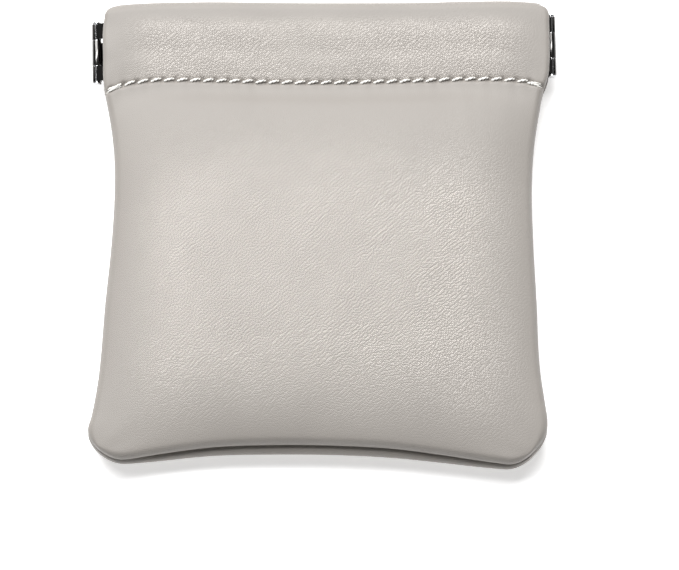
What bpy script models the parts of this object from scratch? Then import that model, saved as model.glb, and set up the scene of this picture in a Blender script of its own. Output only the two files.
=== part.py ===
"""Squeeze-top leather jewelry pouch, lying closed on its back panel.

X runs across the pouch, +Y towards its mouth and +Z up through its thickness. The origin is on the
surface that it lies on, under the middle. Two leather panels are sewn face to face and turned. Each
one's top is hemmed into a casing, and a spring-steel strip runs through each casing. A leaf clamped on
each strip end carries rolled knuckles, and a pin through the knuckles joins the two strips at each
side. Squeezing the two pins together bows the strips apart and opens the mouth.
"""

import math

import bmesh
import bpy
from mathutils import Matrix, Vector

# Overall sizes, in metres
FRAME_WIDTH = 0.105  # over the hinge barrels
POUCH_HEIGHT = 0.1074  # bottom corners to the top of the casings

# Leather
LEATHER = 0.0009
SEAM_GAP = 0.0003  # between the two panels where they are sewn together
FIT = 0.0003  # clearance between pieces that touch
RIM_CORE = 0.0005  # inner radius of the turned edge
SEAM_ALLOWANCE = 0.005

# Outline
WAIST_IN = 0.0029  # how far the waist lies inside the casings' ends
CORNER_OUT = 0.0017  # how far the bottom corners lie outside the casings' ends
WAIST_DROP = 0.0427  # from the top of the casings down to the waist
UPPER_SIDE_POWER = 2.0
LOWER_SIDE_POWER = 1.6
CORNER_RADIUS = 0.0055
FRONT_ARCH = 0.0042  # how far its fullness draws the middle of the front's bottom edge up
BACK_ARCH = 0.0032  # the back is fuller, and shows below the front
TOP_CORNER_DROP = 0.0008

# Fullness, above the turned edge
FRONT_PUFF = 0.0055
BACK_PUFF = 0.0065
FLOOR_DEPTH = 0.007  # from the seam plane down to the surface that the back panel lies flat on
ACROSS_POWER = 2.4
BOTTOM_POWER = 3.2
STITCH_POWER = 7.0

# Casings
HEM_DEPTH = 0.018  # from the stitch row to the top
HEM_TAIL = 0.003  # what the turned-in ply reaches past the stitch row
STITCH_DIP = 0.002  # how much lower the stitch row ends at the sides
GROOVE_HALF = 0.0007
GROOVE_RISE = 0.0013
CASING_PUFF = 0.0004

# Spring frame
STRIP_THICK = 0.0004
STRIP_WIDTH = 0.0118
STRIP_CORNER = 0.0015
LEAF_SHEET = 0.0004
CLAMP_PLAY = 0.0001
CLAMP_LENGTH = 0.0045
CLAMP_EDGE = 0.0003  # how far a clamp reaches past the strip's long edges
CLAMP_REACH = 0.0005  # how far the clamps stand out of the casings
NECK_RUN = 0.00048  # between a clamp and its barrel
NECK_LOW = 0.2  # where the neck's two faces meet the clamp, as shares of its height
NECK_HIGH = 0.6
PIN_RADIUS = 0.00055
PIN_PLAY = 0.00006
PIN_HEAD = 0.00035
PIN_HEAD_RADIUS = 0.0009
PIN_CHAMFER = 0.0002
MIDDLE_KNUCKLE = 0.0057
OUTER_KNUCKLE = 0.0036
KNUCKLE_GAP = 0.0003
HINGE_DROP = 0.0097  # from the top of the casings down to the middle of the strips
FRAME_SLANT = math.radians(1.0)  # how far the frame has slid round in the casings, right end up
ROUND_STEPS = 24

# Sewing thread
THREAD_RADIUS = 0.0003
STITCH_PITCH = 0.0029
STITCH_ROW_IN = 0.0008  # how far the stitch row stops inside the casings' ends
STITCH_LIFT = 0.00014
STITCH_SLANT = 0.00025
# One stitch: share of its length, height and slant at each of its four points
STITCH_SHAPE = ((0.06, 0.0, -1.0), (0.28, 1.0, -0.6), (0.72, 1.0, 0.6), (0.94, 0.0, 1.0))
SEAM_THREAD_RADIUS = 0.0004
SIDE_SEAM_STEPS = 22
BOTTOM_SEAM_STEPS = 26

# Worked out from the sizes above. Heights are above the seam plane until the pieces are placed.
HALF_GAP = SEAM_GAP / 2
RIM_RADIUS = LEATHER + RIM_CORE
TOP_Y = POUCH_HEIGHT / 2
BOTTOM_Y = -POUCH_HEIGHT / 2
STITCH_Y = TOP_Y - HEM_DEPTH
WAIST_Y = TOP_Y - WAIST_DROP
MOUTH_AXIS_Y = BOTTOM_Y + FRONT_ARCH
GROOVE_Z = HALF_GAP + LEATHER + FIT + LEATHER
CLAMP_LOW = HALF_GAP + LEATHER + FIT
STRIP_Z = CLAMP_LOW + LEAF_SHEET + CLAMP_PLAY + STRIP_THICK / 2
CLAMP_HIGH = STRIP_Z + STRIP_THICK / 2 + CLAMP_PLAY + LEAF_SHEET
CASING_Z = CLAMP_HIGH + FIT + LEATHER
FOLD_RADIUS = (CASING_Z - HALF_GAP) / 2
KNUCKLE_RADIUS = PIN_RADIUS + PIN_PLAY + LEAF_SHEET
PIN_X = FRAME_WIDTH / 2 - KNUCKLE_RADIUS
CLAMP_OUT = PIN_X - KNUCKLE_RADIUS - NECK_RUN
TOP_HALF = CLAMP_OUT - CLAMP_REACH
WAIST_HALF = TOP_HALF - WAIST_IN
BOTTOM_HALF = TOP_HALF + CORNER_OUT
STITCH_ROW_HALF = TOP_HALF - STITCH_ROW_IN
HINGE_Y = TOP_Y - HINGE_DROP
HINGE_HEIGHT = MIDDLE_KNUCKLE + 2 * (OUTER_KNUCKLE + KNUCKLE_GAP)
STRIP_END = CLAMP_OUT - LEAF_SHEET - FIT

# Stations of the leather grids: (angle round the turned edge, share of the run beyond it)
QUARTER = math.pi / 2
EDGE_STATIONS = [
    (-QUARTER, 1.0),
    (-QUARTER, 0.0),
    (-QUARTER / 2, 0.0),
    (0.0, 0.0),
    (QUARTER / 2, 0.0),
    (QUARTER, 0.0),
]
ACROSS_SHARES = (0.04, 0.11, 0.21, 0.34, 0.5, 0.67, 0.84, 1.0)
UP_SHARES = (0.03, 0.08, 0.16, 0.27, 0.4, 0.53, 0.66, 0.77, 0.86, 0.93, 0.975, 1.0)
CASING_SHARES = (0.18, 0.38, 0.6, 0.82, 1.0)
FOLD_STEPS = 6
TAIL_SHARES = (0.3, 0.6, 0.85, 1.0)


def ease(low, high, share, power):
    return low + (high - low) * min(max(share, 0.0), 1.0) ** power


def half_width(y):
    """Half the width of the sewn body at a height along Y."""
    if y > WAIST_Y:
        return ease(WAIST_HALF, TOP_HALF, (y - WAIST_Y) / (STITCH_Y - WAIST_Y), UPPER_SIDE_POWER)
    return ease(WAIST_HALF, BOTTOM_HALF, (WAIST_Y - y) / (WAIST_Y - BOTTOM_Y), LOWER_SIDE_POWER)


def bottom_edge(x, arch):
    share = min(abs(x) / (BOTTOM_HALF - CORNER_RADIUS), 1.0)
    return BOTTOM_Y + arch * (1 - share**2)


def stitch_line(x):
    return STITCH_Y - STITCH_DIP * min(abs(x) / TOP_HALF, 1.0) ** 6


def top_edge(x):
    return TOP_Y - TOP_CORNER_DROP * min(abs(x) / TOP_HALF, 1.0) ** 8


def rounded_corner(x, y, half, low):
    """Draws a point near a bottom corner in, from a square corner to a round one."""
    across = 1 - (half - abs(x)) / CORNER_RADIUS
    down = 1 - (y - low) / CORNER_RADIUS
    if across <= 0 or down <= 0:
        return x, y
    new_across = across * math.sqrt(1 - min(down, 1.0) ** 2 / 2)
    new_down = down * math.sqrt(1 - min(across, 1.0) ** 2 / 2)
    x -= math.copysign((across - new_across) * CORNER_RADIUS, x)
    return x, y + (down - new_down) * CORNER_RADIUS


def rim_inset(angle):
    return RIM_RADIUS * (1 - math.cos(angle))


def inset_of(station):
    """How far inside the outline a station of the turned edge or seam allowance lies."""
    angle, run = station
    return rim_inset(angle) + (run * (SEAM_ALLOWANCE - RIM_RADIUS) if angle < 0 else 0.0)


def body_point(side, across, up, cut):
    """A point of the sewn body's outer surface: its place, with its height above the seam plane.

    cut is the panel's bottom arch, its fullness and the height that it is pressed flat at.
    """
    arch, puff, deepest = cut
    folded_in_x, folded_in_y = across[0] < 0, up[0] < 0
    inset_x, inset_y = inset_of(across), inset_of(up)
    if folded_in_x:
        inset_y = max(inset_y, inset_x)
    if folded_in_y:
        inset_x = max(inset_x, inset_y)
    if up[0] == QUARTER:
        nominal = BOTTOM_Y + RIM_RADIUS + up[1] * (STITCH_Y - GROOVE_HALF - BOTTOM_Y - RIM_RADIUS)
    else:
        nominal = BOTTOM_Y + inset_y
    half = half_width(nominal)
    if across[0] == QUARTER:
        x = side * (half - max(RIM_RADIUS, inset_x)) * (1 - across[1])
    else:
        x = side * (half - inset_x)
    low = bottom_edge(x, arch)
    if up[0] == QUARTER:
        start = low + max(RIM_RADIUS, inset_y)
        y = start + up[1] * (stitch_line(x) - GROOVE_HALF - start)
    else:
        y = low + inset_y
    x, y = rounded_corner(x, y, half, low)
    if folded_in_x or folded_in_y:
        lift = min(math.sin(across[0]), math.sin(up[0]))
        return x, y, HALF_GAP + RIM_RADIUS * (1 + lift)
    lift = min(math.sin(across[0]), math.sin(up[0]))
    crown = (1 - (1 - across[1]) ** ACROSS_POWER) * (1 - (1 - up[1]) ** BOTTOM_POWER)
    crown *= 1 - up[1] ** STITCH_POWER
    z = HALF_GAP + RIM_RADIUS * (1 + lift) + puff * crown
    if up == (QUARTER, 1.0):
        z = GROOVE_Z
    return x, y, min(z, deepest)


def casing_profile(x):
    """(y, z) down the hem's path at one place across: groove, outer ply, top fold, turned-in ply."""
    stitch, top = stitch_line(x), top_edge(x)
    foot = stitch + GROOVE_HALF + GROOVE_RISE
    head = top - FOLD_RADIUS
    points = [(stitch, GROOVE_Z), (stitch + GROOVE_HALF, GROOVE_Z)]
    for share in CASING_SHARES:
        bulge = CASING_PUFF * math.sin(math.pi * share)
        run = (share - CASING_SHARES[0]) / (1 - CASING_SHARES[0])
        points.append((foot + (head - foot) * run, CASING_Z + bulge))
    for step in range(1, FOLD_STEPS + 1):
        turn = QUARTER - math.pi * step / FOLD_STEPS
        points.append(
            (head + FOLD_RADIUS * math.cos(turn), HALF_GAP + FOLD_RADIUS * (1 + math.sin(turn)))
        )
    tail = stitch - HEM_TAIL
    points += [(head + (tail - head) * share, HALF_GAP) for share in TAIL_SHARES]
    return points


def casing_point(side, across, row):
    inset = rim_inset(max(across[0], 0.0))
    x = side * (TOP_HALF - inset)
    if across[0] == QUARTER:
        x *= 1 - across[1]
    y, z = casing_profile(x)[row]
    return x, y, z


def material(name, colour, roughness, metallic):
    made = bpy.data.materials.new(name)
    made.use_nodes = True
    shader = made.node_tree.nodes["Principled BSDF"]
    shader.inputs["Base Color"].default_value = (*colour, 1.0)
    shader.inputs["Roughness"].default_value = roughness
    shader.inputs["Metallic"].default_value = metallic
    return made


def move_origin(obj, place):
    """Puts the object's origin at a place, and leaves its shape where it is."""
    shift = Vector(place) - obj.location
    obj.data.transform(Matrix.Translation(-shift))
    obj.location = place


def finish(obj, collection, look, origin, smooth_angle=math.radians(35)):
    for user in list(obj.users_collection):
        user.objects.unlink(obj)
    collection.objects.link(obj)
    obj.data.materials.clear()
    obj.data.materials.append(look)
    obj.data.shade_smooth()
    obj.data.set_sharp_from_angle(angle=smooth_angle)
    move_origin(obj, origin)
    return obj


def new_object(name, mesh):
    obj = bpy.data.objects.new(name, mesh)
    bpy.context.scene.collection.objects.link(obj)
    return obj


def leather_panel(name, facing, cut):
    """One leather panel as an open sheet on its outer surface, thickened inwards.

    facing is +1 for the front panel and -1 for the back. The sheet starts as a grid. Its columns run
    from seam allowance to seam allowance, and its rows from the bottom seam allowance over the body and
    the casing to the turned-in end of the hem.
    """
    halves = EDGE_STATIONS + [(QUARTER, share) for share in ACROSS_SHARES]
    columns = [(-1, s) for s in halves] + [(1, s) for s in reversed(halves[:-1])]
    rows = EDGE_STATIONS + [(QUARTER, share) for share in UP_SHARES]
    casing_rows = len(casing_profile(0.0))
    across_count, up_count = len(columns) - 1, len(rows) + casing_rows - 1

    bm = bmesh.new()
    bmesh.ops.create_grid(bm, x_segments=across_count, y_segments=up_count, size=1.0)
    spare = set()
    for vert in bm.verts:
        i = round((vert.co.x + 1) / 2 * across_count)
        j = round((vert.co.y + 1) / 2 * up_count)
        side, across = columns[i]
        if j < len(rows):
            if across[0] < 0 and rows[j][0] < 0:
                spare.add(vert)
            x, y, z = body_point(side, across, rows[j], cut)
        else:
            if across[0] < 0:
                spare.add(vert)
            x, y, z = casing_point(side, across, j - len(rows))
        vert.co = (x, y, FLOOR_DEPTH + facing * z)
    # The corners of the seam allowance are clipped, and none reaches into the casing's open ends.
    bmesh.ops.delete(bm, geom=list(spare), context="VERTS")
    bmesh.ops.remove_doubles(bm, verts=bm.verts, dist=1e-6)
    if facing < 0:
        bmesh.ops.reverse_faces(bm, faces=bm.faces)
    mesh = bpy.data.meshes.new(name)
    bm.to_mesh(mesh)
    bm.free()
    obj = new_object(name, mesh)
    wall = obj.modifiers.new("leather", "SOLIDIFY")
    wall.thickness = LEATHER
    wall.offset = -1.0
    wall.use_even_offset = True
    return obj


def turned_frame():
    """The turn that the whole spring frame has made in its casings, about the strips' middle."""
    middle = Matrix.Translation((0.0, HINGE_Y, 0.0))
    return middle @ Matrix.Rotation(FRAME_SLANT, 4, "Z") @ middle.inverted()


def outline_prism(name, outlines, y_low, y_high):
    """Closed outlines in the XZ plane, given as (x, z) points, extruded from y_low to y_high."""
    curve = bpy.data.curves.new(name, "CURVE")
    curve.dimensions = "2D"
    curve.fill_mode = "BOTH"
    curve.extrude = (y_high - y_low) / 2
    for outline in outlines:
        spline = curve.splines.new("POLY")
        spline.points.add(len(outline) - 1)
        for point, (x, z) in zip(spline.points, outline):
            point.co = (x, z, 0.0, 1.0)
        spline.use_cyclic_u = True
    guide = new_object(name + "_outline", curve)
    guide.rotation_euler = (QUARTER, 0.0, 0.0)
    guide.location = (0.0, (y_low + y_high) / 2, 0.0)
    bpy.context.view_layer.update()
    evaluated = guide.evaluated_get(bpy.context.evaluated_depsgraph_get())
    mesh = bpy.data.meshes.new_from_object(evaluated)
    mesh.transform(guide.matrix_world)
    bpy.data.objects.remove(guide)
    bm = bmesh.new()
    bm.from_mesh(mesh)
    bmesh.ops.remove_doubles(bm, verts=bm.verts, dist=1e-6)
    bmesh.ops.recalc_face_normals(bm, faces=bm.faces)
    bm.to_mesh(mesh)
    bm.free()
    return new_object(name, mesh)


def joined(base, others):
    """The base with the other pieces joined on by Boolean unions, as one plain mesh."""
    for other in others:
        union = base.modifiers.new("join", "BOOLEAN")
        union.operation = "UNION"
        union.solver = "EXACT"
        union.object = other
    bpy.context.view_layer.update()
    evaluated = base.evaluated_get(bpy.context.evaluated_depsgraph_get())
    mesh = bpy.data.meshes.new_from_object(evaluated)
    base.modifiers.clear()
    base.data = mesh
    for other in others:
        bpy.data.objects.remove(other)
    return base


def circle(radius, x, z):
    turns = [2 * math.pi * step / ROUND_STEPS for step in range(ROUND_STEPS)]
    return [(x + radius * math.cos(t), z + radius * math.sin(t)) for t in turns]


def hinge_leaf(name, side, facing):
    """Sheet metal folded over a strip's end, with a neck up to each rolled knuckle round the pin.

    The front leaf has the two outer knuckles, and the back leaf has the middle one.
    """

    def at(x, z):
        return side * x, FLOOR_DEPTH + facing * z

    slot_low = CLAMP_LOW + LEAF_SHEET
    slot_high = CLAMP_HIGH - LEAF_SHEET
    clamp_in = CLAMP_OUT - CLAMP_LENGTH
    slot_end = CLAMP_OUT - LEAF_SHEET
    clamp = [
        at(clamp_in, CLAMP_LOW),
        at(CLAMP_OUT, CLAMP_LOW),
        at(CLAMP_OUT, CLAMP_HIGH),
        at(clamp_in, CLAMP_HIGH),
        at(clamp_in, slot_high),
        at(slot_end, slot_high),
        at(slot_end, slot_low),
        at(clamp_in, slot_low),
    ]
    clamp_half = STRIP_WIDTH / 2 + CLAMP_EDGE
    leaf = outline_prism(name, [clamp], HINGE_Y - clamp_half, HINGE_Y + clamp_half)
    low, high = HINGE_Y - HINGE_HEIGHT / 2, HINGE_Y + HINGE_HEIGHT / 2
    if facing > 0:
        spans = [(low, low + OUTER_KNUCKLE), (high - OUTER_KNUCKLE, high)]
    else:
        spans = [(HINGE_Y - MIDDLE_KNUCKLE / 2, HINGE_Y + MIDDLE_KNUCKLE / 2)]
    bore = PIN_RADIUS + PIN_PLAY
    # The neck leaves the barrel as a tangent, just inside its two faces, and ends inside the
    # clamp's closed end, so that the union has no faces in one plane.
    rolled_in = LEAF_SHEET / 10
    clamp_mid = CLAMP_OUT - LEAF_SHEET / 2
    neck = [
        at(PIN_X, bore + rolled_in),
        at(PIN_X, KNUCKLE_RADIUS - rolled_in / 8),
        at(clamp_mid, CLAMP_LOW + NECK_HIGH * (CLAMP_HIGH - CLAMP_LOW)),
        at(clamp_mid, CLAMP_LOW + NECK_LOW * (CLAMP_HIGH - CLAMP_LOW)),
    ]
    rings = [circle(KNUCKLE_RADIUS, side * PIN_X, FLOOR_DEPTH), circle(bore, side * PIN_X, FLOOR_DEPTH)]
    pieces = []
    for number, (start, end) in enumerate(spans):
        pieces.append(outline_prism(f"{name}_knuckle_{number}", rings, start, end))
        # A hair shorter than its knuckle, so that no two faces lie in one plane.
        inset = KNUCKLE_GAP / 10
        pieces.append(outline_prism(f"{name}_neck_{number}", [neck], start + inset, end - inset))
    return joined(leaf, pieces)


def hinge_pin(name, side):
    """A turned pin with a low head peened over at each end."""
    reach = HINGE_HEIGHT / 2 + FIT
    end = reach + PIN_HEAD
    crown = PIN_HEAD_RADIUS - PIN_CHAMFER
    profile = [
        (0.0, end),
        (crown, end),
        (PIN_HEAD_RADIUS, end - PIN_CHAMFER),
        (PIN_HEAD_RADIUS, reach),
        (PIN_RADIUS, reach),
        (PIN_RADIUS, -reach),
        (PIN_HEAD_RADIUS, -reach),
        (PIN_HEAD_RADIUS, PIN_CHAMFER - end),
        (crown, -end),
        (0.0, -end),
    ]
    mesh = bpy.data.meshes.new(name)
    mesh.from_pydata([(x, 0.0, z) for x, z in profile], [(k, k + 1) for k in range(len(profile) - 1)], [])
    pin = new_object(name, mesh)
    turned = pin.modifiers.new("turned", "SCREW")
    turned.steps = turned.render_steps = ROUND_STEPS
    turned.use_merge_vertices = True
    turned.merge_threshold = 0.00001
    bpy.context.view_layer.update()
    pin.data = bpy.data.meshes.new_from_object(pin.evaluated_get(bpy.context.evaluated_depsgraph_get()))
    pin.modifiers.clear()
    bm = bmesh.new()
    bm.from_mesh(pin.data)
    bmesh.ops.recalc_face_normals(bm, faces=bm.faces)
    bmesh.ops.rotate(bm, verts=bm.verts, cent=(0, 0, 0), matrix=Matrix.Rotation(-QUARTER, 3, "X"))
    bmesh.ops.translate(bm, verts=bm.verts, vec=(side * PIN_X, HINGE_Y, FLOOR_DEPTH))
    bm.to_mesh(pin.data)
    bm.free()
    return pin


def spring_strip(name, facing):
    """A flat strip of spring steel with rounded end corners."""
    bm = bmesh.new()
    bmesh.ops.create_cube(bm, size=1.0)
    bmesh.ops.scale(bm, verts=bm.verts, vec=(2 * STRIP_END, STRIP_WIDTH, STRIP_THICK))
    upright = [e for e in bm.edges if abs((e.verts[0].co - e.verts[1].co).z) > STRIP_THICK / 2]
    bmesh.ops.bevel(bm, geom=upright, offset=STRIP_CORNER, segments=4, profile=0.5, affect="EDGES")
    centre = (0.0, HINGE_Y, FLOOR_DEPTH + facing * STRIP_Z)
    bmesh.ops.translate(bm, verts=bm.verts, vec=centre)
    mesh = bpy.data.meshes.new(name)
    bm.to_mesh(mesh)
    bm.free()
    return new_object(name, mesh)


def thread_tube(name, points, radius):
    curve = bpy.data.curves.new(name, "CURVE")
    curve.dimensions = "3D"
    curve.bevel_depth = radius
    curve.bevel_resolution = 1
    curve.use_fill_caps = True
    spline = curve.splines.new("POLY")
    spline.points.add(len(points) - 1)
    for point, co in zip(spline.points, points):
        point.co = (*co, 1.0)
    guide = new_object(name + "_path", curve)
    bpy.context.view_layer.update()
    mesh = bpy.data.meshes.new_from_object(guide.evaluated_get(bpy.context.evaluated_depsgraph_get()))
    bpy.data.objects.remove(guide)
    bm = bmesh.new()
    bm.from_mesh(mesh)
    bmesh.ops.remove_doubles(bm, verts=bm.verts, dist=1e-7)
    bmesh.ops.recalc_face_normals(bm, faces=bm.faces)
    bm.to_mesh(mesh)
    bm.free()
    return new_object(name, mesh)


def hem_thread(name, facing):
    """The stitch row in a casing's groove: slanted stitches that dip where the needle went through."""
    count = round(2 * STITCH_ROW_HALF / STITCH_PITCH)
    step = 2 * STITCH_ROW_HALF / count
    lowest = GROOVE_Z + FIT / 2 + THREAD_RADIUS
    points = []
    for k in range(count):
        start = -STITCH_ROW_HALF + k * step
        for share, lift, slant in STITCH_SHAPE:
            x = start + share * step
            y = stitch_line(x) + slant * STITCH_SLANT
            points.append((x, y, FLOOR_DEPTH + facing * (lowest + lift * STITCH_LIFT)))
    return thread_tube(name, points, THREAD_RADIUS)


def seam_inset_point(side, up):
    """A place in the seam plane just inside the raw edges of the seam allowances."""
    inset = SEAM_ALLOWANCE + FIT + SEAM_THREAD_RADIUS
    y = max(up, BOTTOM_Y + inset)
    return side * (half_width(y) - inset), y, FLOOR_DEPTH


def side_seam_thread(name, side):
    low = BOTTOM_Y + CORNER_RADIUS + SEAM_ALLOWANCE
    high = STITCH_Y - STITCH_DIP - HEM_TAIL - FIT - SEAM_THREAD_RADIUS
    step = (high - low) / SIDE_SEAM_STEPS
    points = [seam_inset_point(side, low + step * k) for k in range(SIDE_SEAM_STEPS + 1)]
    return thread_tube(name, points, SEAM_THREAD_RADIUS)


def bottom_seam_thread(name):
    inset = SEAM_ALLOWANCE + FIT + SEAM_THREAD_RADIUS
    reach = BOTTOM_HALF - CORNER_RADIUS - SEAM_ALLOWANCE
    points = []
    for k in range(BOTTOM_SEAM_STEPS + 1):
        x = reach * (2 * k / BOTTOM_SEAM_STEPS - 1)
        points.append((x, bottom_edge(x, FRONT_ARCH) + inset, FLOOR_DEPTH))
    return thread_tube(name, points, SEAM_THREAD_RADIUS)


def main():
    for obj in list(bpy.data.objects):
        bpy.data.objects.remove(obj)
    pouch = bpy.data.collections.new("jewelry_pouch")
    bpy.context.scene.collection.children.link(pouch)

    leather = material("warm grey leather", (0.56, 0.52, 0.48), 0.45, 0.0)
    leather_back = material("warm grey leather, back", (0.54, 0.50, 0.46), 0.45, 0.0)
    steel = material("blued spring steel", (0.30, 0.31, 0.33), 0.3, 1.0)
    gunmetal = material("polished gunmetal", (0.20, 0.20, 0.21), 0.15, 1.0)
    bright = material("bright pin steel", (0.55, 0.55, 0.56), 0.2, 1.0)
    cream = material("cream thread", (0.80, 0.76, 0.70), 0.8, 0.0)

    mouth_axis = (0.0, MOUTH_AXIS_Y, FLOOR_DEPTH)
    slid = turned_frame()
    # The back lies flat on its surface, and nothing presses on the front.
    back_cut = (BACK_ARCH, BACK_PUFF, FLOOR_DEPTH)
    front_cut = (FRONT_ARCH, FRONT_PUFF, math.inf)
    finish(leather_panel("back_panel", -1, back_cut), pouch, leather_back, (0, 0, 0))
    finish(leather_panel("front_panel", 1, front_cut), pouch, leather, mouth_axis)
    for name, facing, origin in (
        ("back_spring_strip", -1, (0, 0, 0)),
        ("front_spring_strip", 1, mouth_axis),
    ):
        strip = spring_strip(name, facing)
        strip.data.transform(slid)
        finish(strip, pouch, steel, origin)
    finish(hem_thread("back_hem_thread", -1), pouch, cream, (0, 0, 0))
    finish(hem_thread("front_hem_thread", 1), pouch, cream, mouth_axis)
    finish(bottom_seam_thread("bottom_seam_thread"), pouch, cream, (0, 0, 0))
    for side, word in ((-1, "left"), (1, "right")):
        pin_axis = slid @ Vector((side * PIN_X, HINGE_Y, FLOOR_DEPTH))
        hardware = [
            (hinge_leaf(f"{word}_front_leaf", side, 1), gunmetal),
            (hinge_leaf(f"{word}_back_leaf", side, -1), gunmetal),
            (hinge_pin(f"{word}_hinge_pin", side), bright),
        ]
        for piece, look in hardware:
            piece.data.transform(slid)
            finish(piece, pouch, look, pin_axis)
        finish(side_seam_thread(f"{word}_seam_thread", side), pouch, cream, mouth_axis)


main()
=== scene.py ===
"""Dressed model of the squeeze-top leather jewelry pouch, lying closed on its back panel.

X runs across the pouch, +Y towards its mouth and +Z up through its thickness. Everything is in
metres.
"""

import math

import bmesh
import bpy
import numpy as np
from bpy.props import FloatProperty, FloatVectorProperty, IntProperty, PointerProperty
from bpy.types import Operator, Panel, PropertyGroup
from mathutils import Matrix, Vector


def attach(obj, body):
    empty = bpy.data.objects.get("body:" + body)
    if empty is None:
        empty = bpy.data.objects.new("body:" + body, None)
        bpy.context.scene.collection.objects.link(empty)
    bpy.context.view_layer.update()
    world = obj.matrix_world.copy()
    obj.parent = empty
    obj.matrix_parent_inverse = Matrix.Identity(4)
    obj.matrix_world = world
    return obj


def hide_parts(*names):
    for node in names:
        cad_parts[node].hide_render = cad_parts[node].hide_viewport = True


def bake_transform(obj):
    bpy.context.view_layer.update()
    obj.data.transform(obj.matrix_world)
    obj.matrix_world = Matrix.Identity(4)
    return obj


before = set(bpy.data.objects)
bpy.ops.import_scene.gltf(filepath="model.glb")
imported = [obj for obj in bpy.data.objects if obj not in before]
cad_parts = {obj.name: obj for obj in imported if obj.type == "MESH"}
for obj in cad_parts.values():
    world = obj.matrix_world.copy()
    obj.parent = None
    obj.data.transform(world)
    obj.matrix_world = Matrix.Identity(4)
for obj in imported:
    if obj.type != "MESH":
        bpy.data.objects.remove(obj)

bl_info = {
    "name": "Squeeze-top Pouch",
    "version": (1, 0, 0),
    "blender": (4, 5, 0),
    "location": "3D View > Sidebar > Pouch",
    "description": "Dresses the squeeze-top leather pouch with leather, stitching and hinges",
    "category": "Object",
}

# Places that the CAD model gives
SEAM_Z = 0.007  # the plane where the two panels meet
HALF_GAP = 0.00003  # from that plane to each panel
MOUTH_HALF = 0.05149  # from the middle to each hinge pin
FRAME_Y = 0.0440  # the middle of the spring strips
FRAME_SLANT = math.radians(1.0)
TURNED_EDGE = 0.0014  # radius of the panels' turned edges
CASING_EDGE = 0.0010  # radius of the casings' edges, where the hinges come out
SEAM_ALLOWANCE = 0.005
CORNER = 0.0085  # radius of the bottom corners
LOW_Y, ROW_Y = -0.052, 0.0357  # the bottom edge and the stitch row, on average
EDGE_Z = HALF_GAP + TURNED_EDGE  # from the seam plane to the middle of a turned edge
ROW_Z = 0.0033  # height of the leather at the stitch row, over the seam plane
ROW_HALF = 0.0483  # from the middle to the row's first and last needle hole
STRIP_HALF = 0.0478  # from the middle to each end of a spring strip
STRIP_WIDTH = 0.0118
STRIP_Z = 0.00205  # from the seam plane to the middle of a strip
LEAF_HALF = 0.00675  # half the height of a hinge
QUARTER = math.pi / 2
TINY = 1e-9  # less than any step between stations

# How steeply the fullness rises from the sides, from the bottom and up to the stitch row
SIDE_POWER, BOTTOM_POWER, ROW_POWER, CROWN_POWER = 3.4, 4.9, 7.0, 0.78

# How far the sewn sides stand out at a height along Y, as the photographed pouch has them
LEFT_SIDE = (
    (-0.0560, 0.0531), (-0.0446, 0.0528), (-0.0425, 0.0522), (-0.0374, 0.0512), (-0.0152, 0.0491),
    (0.0000, 0.0477), (0.0110, 0.0472), (0.0173, 0.0473), (0.0275, 0.0484), (0.0324, 0.0493),
    (0.0352, 0.0498), (0.0420, 0.0500), (0.0474, 0.0501), (0.0490, 0.0500), (0.0505, 0.0498),
    (0.0518, 0.0496), (0.0527, 0.0491), (0.0533, 0.0484), (0.0537, 0.0473),
)
RIGHT_SIDE = (
    (-0.0560, 0.0481), (-0.0518, 0.0488), (-0.0494, 0.0493), (-0.0471, 0.0497), (-0.0452, 0.0500),
    (-0.0434, 0.0501), (-0.0386, 0.0495), (-0.0329, 0.0487), (-0.0152, 0.0478),
    (0.0000, 0.0471), (0.0110, 0.0469), (0.0200, 0.0474), (0.0292, 0.0487), (0.0340, 0.0497),
    (0.0356, 0.0503), (0.0377, 0.0508), (0.0400, 0.0510), (0.0450, 0.0511), (0.0500, 0.0510),
    (0.0515, 0.0510), (0.0526, 0.0507), (0.0534, 0.0501), (0.0539, 0.0490),
)
FRONT_BOTTOM = (
    (-0.0531, -0.0518), (-0.0434, -0.0518), (-0.0398, -0.0512), (-0.0245, -0.0491),
    (-0.0119, -0.0486), (0.0014, -0.0487), (0.0157, -0.0495), (0.0263, -0.0509), (0.0371, -0.0525),
    (0.0438, -0.0533), (0.0503, -0.0535),
)
BACK_BOTTOM = (
    (-0.0531, -0.0520), (-0.0434, -0.0522), (-0.0398, -0.0519), (-0.0245, -0.0504),
    (-0.0119, -0.0501), (0.0014, -0.0502), (0.0157, -0.0509), (0.0263, -0.0520), (0.0371, -0.0532),
    (0.0438, -0.0537), (0.0503, -0.0538),
)
STITCH_LINE = (
    (-0.0500, 0.0329), (-0.0494, 0.0332), (-0.0470, 0.0343), (-0.0448, 0.0350), (-0.0419, 0.0355),
    (-0.0371, 0.0360), (-0.0340, 0.0360), (-0.0197, 0.0357), (-0.0079, 0.0354), (0.0050, 0.0354),
    (0.0180, 0.0357), (0.0292, 0.0361), (0.0355, 0.0362), (0.0419, 0.0360), (0.0451, 0.0357),
    (0.0475, 0.0352), (0.0498, 0.0343), (0.0510, 0.0339),
)
TOP_LINE = (
    (-0.0500, 0.0535), (-0.0485, 0.0537), (-0.0450, 0.0541), (-0.0400, 0.0544), (-0.0300, 0.0546),
    (-0.0100, 0.0545), (0.0000, 0.0544), (0.0200, 0.0545), (0.0350, 0.0548), (0.0440, 0.0548),
    (0.0480, 0.0545), (0.0510, 0.0541),
)


def smooth(low, high, value):
    """0 up to low, 1 from high, and a soft step between them."""
    share = np.clip((value - low) / (high - low), 0.0, 1.0)
    return share * share * (3 - 2 * share)


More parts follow.
